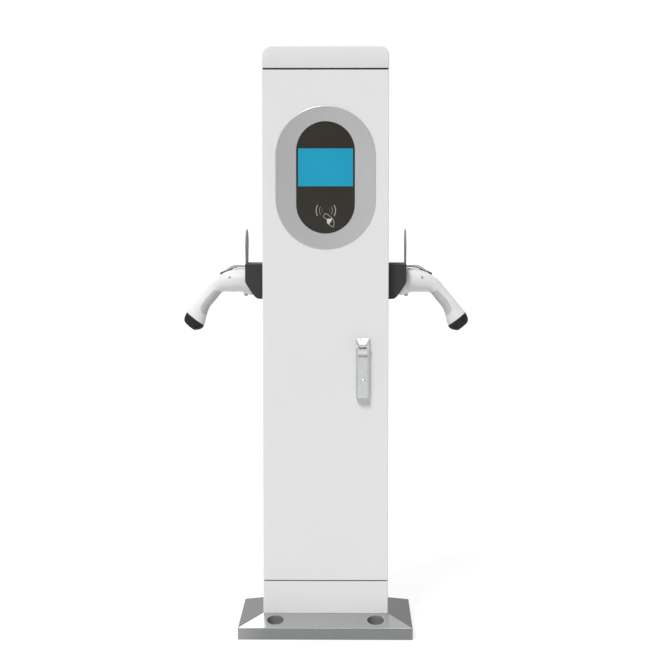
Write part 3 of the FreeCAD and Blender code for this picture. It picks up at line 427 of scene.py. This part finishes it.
def latch_blade(name):
    """Warm silver lacquer on top, dark all over the thumb end. Along the lower edge the dark is the
    blade's own underside with painted shadow from the gap under it.
    """
    surface = plastic_surface(name, (0.42, 0.40, 0.36), roughness=0.3, texture=0.05)
    beyond = surface.math("SUBTRACT", surface.across(), LATCH_EDGE_START_X)
    fall = surface.math("MULTIPLY", beyond, LATCH_EDGE_FALL)
    edge = surface.math("MINIMUM", surface.math("ADD", fall, LATCH_EDGE_Z), LATCH_EDGE_TOP)
    # Along the lower edge: the blade's dark underside with painted shadow from the gap under it.
    underside_and_pocket_shadow = surface.math("LESS_THAN", surface.height(), edge)
    thumb = surface.math("GREATER_THAN", surface.across(), LATCH_THUMB_X)
    return surface.overlay(surface.math("MAXIMUM", underside_and_pocket_shadow, thumb), (0.035, 0.034, 0.031)).material


def lit_screen(name):
    """A lit liquid-crystal panel: faint pixel rows and a slightly uneven tone."""
    surface = Surface(name, colour=(0.004, 0.006, 0.008), roughness=0.2)
    rows = surface.node("ShaderNodeTexWave", wave_type="BANDS", bands_direction="Z")
    rows.inputs["Scale"].default_value = 900.0
    surface.link(surface.place, rows.inputs["Vector"])
    lines = surface.ramp(rows.outputs["Fac"], span=(0.0, 1.0), result=(0.97, 1.0))
    tone = surface.ramp(surface.noise(scale=9.0, detail=1.0), span=(0.25, 0.75))
    surface.drive("Emission Color", surface.mix(tone, (0.008, 0.315, 0.500), (0.012, 0.338, 0.525)))
    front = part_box("lcd_module")[0].y
    depth = surface.split(surface.place, "Y")
    on_face = surface.ramp(depth, span=(front + 0.1 * MM, front + 0.2 * MM), result=(1.0, 0.0))
    surface.drive("Emission Strength", surface.math("MULTIPLY", lines, on_face))
    return surface.set(Specular_IOR_Level=0.2).material


def soft_grip(name):
    """Soft moulded rubber with a fine net of raised cells."""
    surface = Surface(name, colour=(0.41, 0.41, 0.414), roughness=0.62)
    surface.vary_colour(scale=40.0, amount=0.05)
    cells = surface.node("ShaderNodeTexVoronoi", feature="F1")
    cells.inputs["Scale"].default_value = 620.0
    surface.link(surface.place, cells.inputs["Vector"])
    raised = surface.ramp(cells.outputs["Distance"], span=(0.0, 0.7), result=(1.0, 0.0))
    surface.bump(raised, strength=0.45, distance=0.0003)
    surface.grain(scale=2600.0, strength=0.15, distance=0.00005)
    return surface.set(Sheen_Weight=0.15).material


def circuit_board(name):
    """Green solder mask with copper tracks showing through, and dark or pale parts standing on it."""
    surface = Surface(name, colour=(0.010, 0.09, 0.035), roughness=0.32)
    tracks = surface.node("ShaderNodeTexBrick")
    tracks.inputs["Scale"].default_value = 60.0
    tracks.inputs["Mortar Size"].default_value = 0.03
    tracks.inputs["Color1"].default_value = (0.010, 0.090, 0.035, 1)
    tracks.inputs["Color2"].default_value = (0.012, 0.105, 0.042, 1)
    tracks.inputs["Mortar"].default_value = (0.035, 0.19, 0.07, 1)
    turned = surface.node("ShaderNodeMapping")
    turned.inputs["Rotation"].default_value = (math.pi / 2, 0, 0)
    surface.link(surface.place, turned.inputs["Vector"])
    surface.link(turned.outputs["Vector"], tracks.inputs["Vector"])
    surface.paint(tracks.outputs["Color"])
    # Everything that stands on the board, then its pale plugs, blue relays, tin shield and tallest tops.
    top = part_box("control_board")[0].y
    parts = (top - MM, top + CHIPS_DEPTH)
    surface.overlay(surface.block(Y=parts), (0.014, 0.014, 0.015))
    surface.overlay(surface.block(Y=parts, Z=PLUGS_Z), (0.42, 0.42, 0.38))
    surface.overlay(surface.block(Y=parts, X=RELAYS_X, Z=RELAYS_Z), (0.02, 0.06, 0.18))
    surface.overlay(surface.block(Y=parts, X=SHIELD_X, Z=SHIELD_Z), (0.40, 0.40, 0.40))
    surface.overlay(surface.block(Y=(top - MM, top + FACE_DEPTH)), (0.50, 0.50, 0.50))
    return surface.material


def rail_plastic(name):
    """Light grey device moulding. Each energy meter has a dull green window and a button on its nose."""
    surface = plastic_surface(name, (0.55, 0.55, 0.54), roughness=0.45, texture=0.12)
    low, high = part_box("energy_meters")
    middle = (low.z + high.z) / 2
    face = (low.y - MM, low.y + FACE_DEPTH)
    window_z = (middle - METER_WINDOW_DOWN, middle + METER_WINDOW_UP)
    for centre in (low.x + METER_W / 2, high.x - METER_W / 2):
        window_x = (centre - METER_WINDOW_HALF, centre + METER_WINDOW_HALF)
        surface.overlay(surface.block(X=window_x, Y=face, Z=window_z), (0.09, 0.12, 0.075))
        place = (centre, middle - METER_BUTTON_DOWN)
        button = surface.near(surface.sideways(), surface.height(), place, METER_BUTTON_R)
        on_button = surface.math("MULTIPLY", button, surface.within("Y", *face))
        surface.overlay(on_button, (0.02, 0.05, 0.12))
    return surface.material


def brass(name):
    surface = Surface(name, colour=(0.75, 0.52, 0.22), roughness=0.22, metallic=1.0)
    surface.vary_colour(scale=120.0, amount=0.08)
    surface.vary_roughness(scale=200.0, low=0.16, high=0.3)
    return surface.material


MATERIALS = {
    "post_white": powder_coat("post_white", (0.605, 0.605, 0.605), 0.42),
    "base_steel": base_sheet("base_steel"),
    "zinc_steel": zinc_plate("zinc_steel"),
    "black_rubber": moulded_plastic("black_rubber", (0.012, 0.012, 0.012), 0.75, 0.2, scale=900.0),
    "ring_silver": satin_ring("ring_silver"),
    "panel_black": gloss_panel("panel_black"),
    "screen_blue": lit_screen("screen_blue"),
    "handle_chrome": handle_metal("handle_chrome"),
    "holder_grey": holder_coat("holder_grey"),
    "socket_black": moulded_plastic("socket_black", (0.02, 0.02, 0.02), 0.5),
    "gun_white": gun_shell("gun_white"),
    "gun_grip": soft_grip("gun_grip"),
    "gun_black": cap_plastic("gun_black"),
    "latch_grey": latch_blade("latch_grey"),
    "contact_brass": brass("contact_brass"),
    "device_grey": rail_plastic("device_grey"),
    "device_dark": moulded_plastic("device_dark", (0.03, 0.03, 0.032), 0.45),
    "terminal_beige": moulded_plastic("terminal_beige", (0.45, 0.42, 0.33), 0.5),
    "board_green": circuit_board("board_green"),
    "housing_grey": moulded_plastic("housing_grey", (0.10, 0.105, 0.11), 0.5),
}

ICON_COLOURS = {
    "bright": (0.33, 0.32, 0.295),
    "dim": (0.17, 0.165, 0.15),
    "faint": (0.075, 0.073, 0.065),
    "card": (0.24, 0.235, 0.22),
    "thumb": (0.46, 0.455, 0.43),
}
ICON_TONES = {
    tone: moulded_plastic("icon_" + tone, colour, 0.5, texture=0.02)
    for tone, colour in ICON_COLOURS.items()
}


def dress_cad_nodes():
    for row in frame["record"]["subparts"]:
        materials = NODES[row["node"]].data.materials
        materials.clear()
        materials.append(MATERIALS[row["material_slot"]])


# ---- Mesh helpers ---------------------------------------------------------------------------
def soften(target, width, smooth=False):
    """Rounds sharp edges by a small real radius. Smooth is for parts with larger round surfaces."""
    weld = target.modifiers.new("weld", "WELD")
    weld.merge_threshold = 0.005 * MM
    bevel = target.modifiers.new("bevel", "BEVEL")
    bevel.width = width
    bevel.segments = 2
    bevel.limit_method = "ANGLE"
    bevel.angle_limit = math.radians(35.0)
    bevel.harden_normals = smooth
    for polygon in target.data.polygons:
        polygon.use_smooth = smooth


def new_piece(name, verts, faces, body, material):
    mesh = bpy.data.meshes.new(name)
    mesh.from_pydata([tuple(v) for v in verts], [], faces)
    mesh.update()
    piece = bpy.data.objects.new(name, mesh)
    bpy.context.scene.collection.objects.link(piece)
    mesh.materials.append(material)
    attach(piece, body)
    return piece


# ---- Pictogram on the panel -----------------------------------------------------------------
def ribbon(points, width, y0, y1):
    """A flat raised line through points in the XZ plane."""
    verts = []
    faces = []
    count = len(points)
    for i, point in enumerate(points):
        before = points[max(0, i - 1)]
        after = points[min(count - 1, i + 1)]
        along = (Vector(after) - Vector(before)).normalized()
        side = Vector((-along.y, along.x)) * width / 2
        for y in (y0, y1):
            for sign in (1, -1):
                verts.append((point[0] + sign * side.x, y, point[1] + sign * side.y))
    for i in range(count - 1):
        a = 4 * i
        b = 4 * (i + 1)
        faces += [(a, a + 1, b + 1, b), (a + 2, b + 2, b + 3, a + 3)]
        faces += [(a, b, b + 2, a + 2), (a + 1, a + 3, b + 3, b + 1)]
    faces += [(0, 2, 3, 1), (4 * count - 4, 4 * count - 3, 4 * count - 1, 4 * count - 2)]
    return verts, faces


def add_shape(store, shape):
    """Adds a shape's points and faces to the lists in store."""
    verts, faces = shape
    start = len(store[0])
    store[0].extend(verts)
    store[1].extend(tuple(i + start for i in face) for face in faces)


def arc_points(centre, radius, start, end, steps=14):
    angles = [math.radians(start + (end - start) * i / steps) for i in range(steps + 1)]
    return [(centre[0] + radius * math.cos(a), centre[1] + radius * math.sin(a)) for a in angles]


def plate_shape(points, y0, y1):
    """A flat plate with this outline in the XZ plane."""
    count = len(points)
    verts = [(x, y0, z) for x, z in points] + [(x, y1, z) for x, z in points]
    faces = [tuple(range(count)), tuple(reversed(range(count, 2 * count)))]
    faces += [(i, i + count, (i + 1) % count + count, (i + 1) % count) for i in range(count)]
    return verts, faces


def card_pictogram():
    """A generic tap-your-card sign: radio arcs either side of a tilted card held in a hand."""
    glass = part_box("panel_glass")[0].y
    y0 = glass - 0.15 * MM
    y1 = glass + 0.3 * MM
    middle = Vector(ICON_MIDDLE)
    shapes = {tone: ([], []) for tone in ICON_TONES}
    # Each pair of arcs: tone, radius, half angle, how far out it reaches, line width, in mm and degrees.
    rings = (
        ("bright", 26.0, 32, 24.6, 1.9),
        ("dim", 15.8, 38, 16.5, 1.7),
        ("faint", 7.3, 42, 10.2, 1.3),
    )
    for tone, radius, spread, reach, width in rings:
        for sign, facing in ((1, 0), (-1, 180)):
            centre = (middle.x + sign * (reach - radius) * MM, middle.y)
            line = arc_points(centre, radius * MM, facing - spread, facing + spread)
            add_shape(shapes[tone], ribbon(line, width * MM, y0, y1))

    def spots(points):
        return [tuple(middle + Vector(point) * MM) for point in points]

    card = spots(((2.8, -22.7), (-6.2, -15.8), (-6.6, -14.6), (-1.0, -7.2), (0.2, -7.0), (14.0, -17.2)))
    add_shape(shapes["card"], ribbon(card, 1.7 * MM, y0, y1))
    hand = spots((
        (14.0, -17.2), (19.2, -24.2), (20.9, -29.0), (20.2, -36.0),
        (19.8, -42.6), (12.9, -38.6), (6.6, -34.4),
    ))
    add_shape(shapes["card"], ribbon(hand, 1.8 * MM, y0, y1))
    fingers = spots((
        (2.4, -22.6), (4.2, -21.2), (6.0, -19.6), (8.2, -21.4), (11.0, -20.4), (13.0, -19.4),
        (14.6, -18.0), (15.2, -22.6), (13.9, -25.8), (13.6, -29.2), (11.2, -28.4), (10.2, -30.6),
        (9.8, -34.4), (8.6, -36.2), (6.2, -34.8), (3.9, -32.2), (2.9, -29.2), (3.2, -26.4),
    ))
    add_shape(shapes["thumb"], plate_shape(fingers, y0, y1))
    for tone, (verts, faces) in shapes.items():
        new_piece("pictogram_" + tone, verts, faces, "door", ICON_TONES[tone])


# ---- Stage ----------------------------------------------------------------------------------
def make_floor():
    corners = [(FLOOR_HALF * x, FLOOR_HALF * y, 0) for x, y in ((-1, -1), (1, -1), (1, 1), (-1, 1))]
    mesh = bpy.data.meshes.new("floor")
    mesh.from_pydata(corners, [], [(0, 1, 2, 3)])
    floor = bpy.data.objects.new("floor", mesh)
    floor.location.z = -FLOOR_DROP
    bpy.context.scene.collection.objects.link(floor)
    surface = Surface("floor_light_table", colour=(0.22, 0.22, 0.22), roughness=0.9)
    surface.vary_colour(scale=0.8, amount=0.004)
    surface.set(Emission_Color=(1, 1, 1, 1), Emission_Strength=FLOOR_GLOW, Specular_IOR_Level=0.0)
    mesh.materials.append(surface.material)


def make_world():
    """White to the camera. What lights the post is a plain studio with a bright panel overhead."""
    world = bpy.data.worlds.new("studio")
    bpy.context.scene.world = world
    world.use_nodes = True
    tree = world.node_tree
    tree.nodes.clear()
    place = tree.nodes.new("ShaderNodeTexCoord")
    parts = tree.nodes.new("ShaderNodeSeparateXYZ")
    tree.links.new(place.outputs["Generated"], parts.inputs["Vector"])

    def put(value, socket):
        if isinstance(value, float):
            socket.default_value = value
        else:
            tree.links.new(value, socket)

    def ranged(value, span, result):
        made = tree.nodes.new("ShaderNodeMapRange")
        made.interpolation_type = "SMOOTHSTEP"
        for key, number in zip(RANGE_SOCKETS, (*span, *result)):
            put(number, made.inputs[key])
        tree.links.new(value, made.inputs["Value"])
        return made.outputs["Result"]

    def product(first, second):
        made = tree.nodes.new("ShaderNodeMath")
        made.operation = "MULTIPLY"
        put(first, made.inputs[0])
        put(second, made.inputs[1])
        return made.outputs["Value"]

    height = ranged(parts.outputs["Z"], span=(0.1, 0.8), result=(WORLD_BACK_LOW, WORLD_BACK_HIGH))
    behind = product(height, ranged(parts.outputs["X"], span=(-0.3, 0.3), result=(1.2, 0.78)))
    ahead = ranged(parts.outputs["Z"], span=(-0.1, 0.9), result=(WORLD_FRONT_LOW, WORLD_FRONT_HIGH))
    around = ranged(parts.outputs["Y"], span=(-0.35, 0.45), result=(ahead, behind))
    overhead = tree.nodes.new("ShaderNodeMath")
    put(around, overhead.inputs[0])
    put(ranged(parts.outputs["Z"], span=(0.86, 0.96), result=(0.0, WORLD_OVERHEAD)), overhead.inputs[1])
    glow = tree.nodes.new("ShaderNodeBackground")
    tree.links.new(overhead.outputs["Value"], glow.inputs["Strength"])
    plain = tree.nodes.new("ShaderNodeBackground")
    plain.inputs["Strength"].default_value = WORLD_TO_CAMERA
    for background in (glow, plain):
        background.inputs["Color"].default_value = (1, 1, 1, 1)
    path = tree.nodes.new("ShaderNodeLightPath")
    mixer = tree.nodes.new("ShaderNodeMixShader")
    tree.links.new(path.outputs["Is Camera Ray"], mixer.inputs["Fac"])
    tree.links.new(glow.outputs["Background"], mixer.inputs[1])
    tree.links.new(plain.outputs["Background"], mixer.inputs[2])
    out = tree.nodes.new("ShaderNodeOutputWorld")
    tree.links.new(mixer.outputs["Shader"], out.inputs["Surface"])


def aim(light, place, target):
    light.location = place
    light.rotation_euler = (Vector(target) - Vector(place)).to_track_quat("-Z", "Y").to_euler()
    bpy.context.scene.collection.objects.link(light)


def make_lights():
    """A broad key from the upper left in front, and a panel behind on the left that the base mirrors."""
    key = bpy.data.lights.new("key", "SUN")
    key.energy = KEY_POWER
    key.angle = math.radians(KEY_ANGLE)
    aim(bpy.data.objects.new("key", key), KEY_PLACE, (0, 0, 0))
    panel = bpy.data.lights.new("panel", "AREA")
    panel.shape = "RECTANGLE"
    panel.size, panel.size_y = PANEL_SIZE
    panel.energy = PANEL_POWER
    aim(bpy.data.objects.new("panel", panel), PANEL_PLACE, PANEL_TARGET)


def make_camera():
    data = bpy.data.cameras.new("camera")
    data.lens = CAMERA_LENS
    data.sensor_width = 36.0
    data.clip_end = 200
    camera = bpy.data.objects.new("camera", data)
    camera.location = CAMERA_PLACE
    camera.rotation_euler = (math.radians(90 - CAMERA_PITCH), 0, math.radians(CAMERA_YAW))
    bpy.context.scene.collection.objects.link(camera)
    bpy.context.scene.camera = camera


dress_cad_nodes()
for part, radius in EDGE_RADII:
    soften(NODES[part], radius)
soften(NODES["top_cap"], CAP_EDGE_RADIUS, smooth=True)
card_pictogram()
make_floor()
make_world()
make_lights()
make_camera()
bpy.context.scene.view_settings.view_transform = "Standard"
